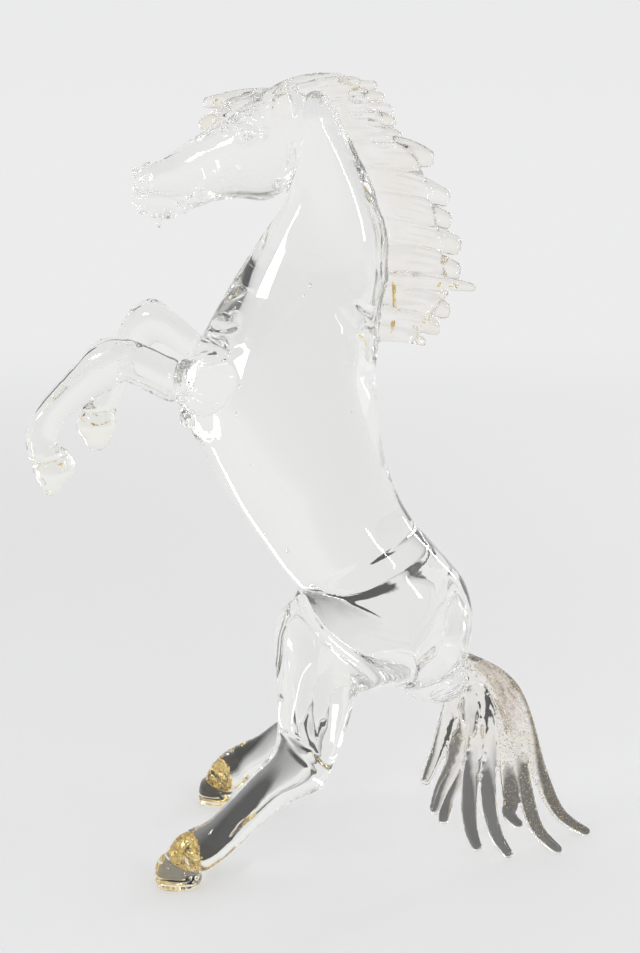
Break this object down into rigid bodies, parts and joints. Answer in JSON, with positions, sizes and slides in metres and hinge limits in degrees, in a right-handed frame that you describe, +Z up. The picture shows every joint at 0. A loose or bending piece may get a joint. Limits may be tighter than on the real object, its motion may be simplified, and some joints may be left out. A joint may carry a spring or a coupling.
{
  "type": "glass horse sculpture",
  "caption": "Rearing horse sculpture in clear colourless glass, standing on its hind hooves and the tips of its tail, with gold leaf sealed in.",
  "frame": {"origin": "middle of the bounding box, on the surface that the hooves and the tail stand on", "axes": "+Z up; the horse faces -X; its near side, the left one, is -Y"},
  "size_m": [0.2964, 0.1339, 0.4112],
  "materials": {
    "clear_glass": "fire-polished clear glass"
  },
  "bodies": {
    "root": {"glass_horse": "clear_glass"}
  },
  "joints": []
}
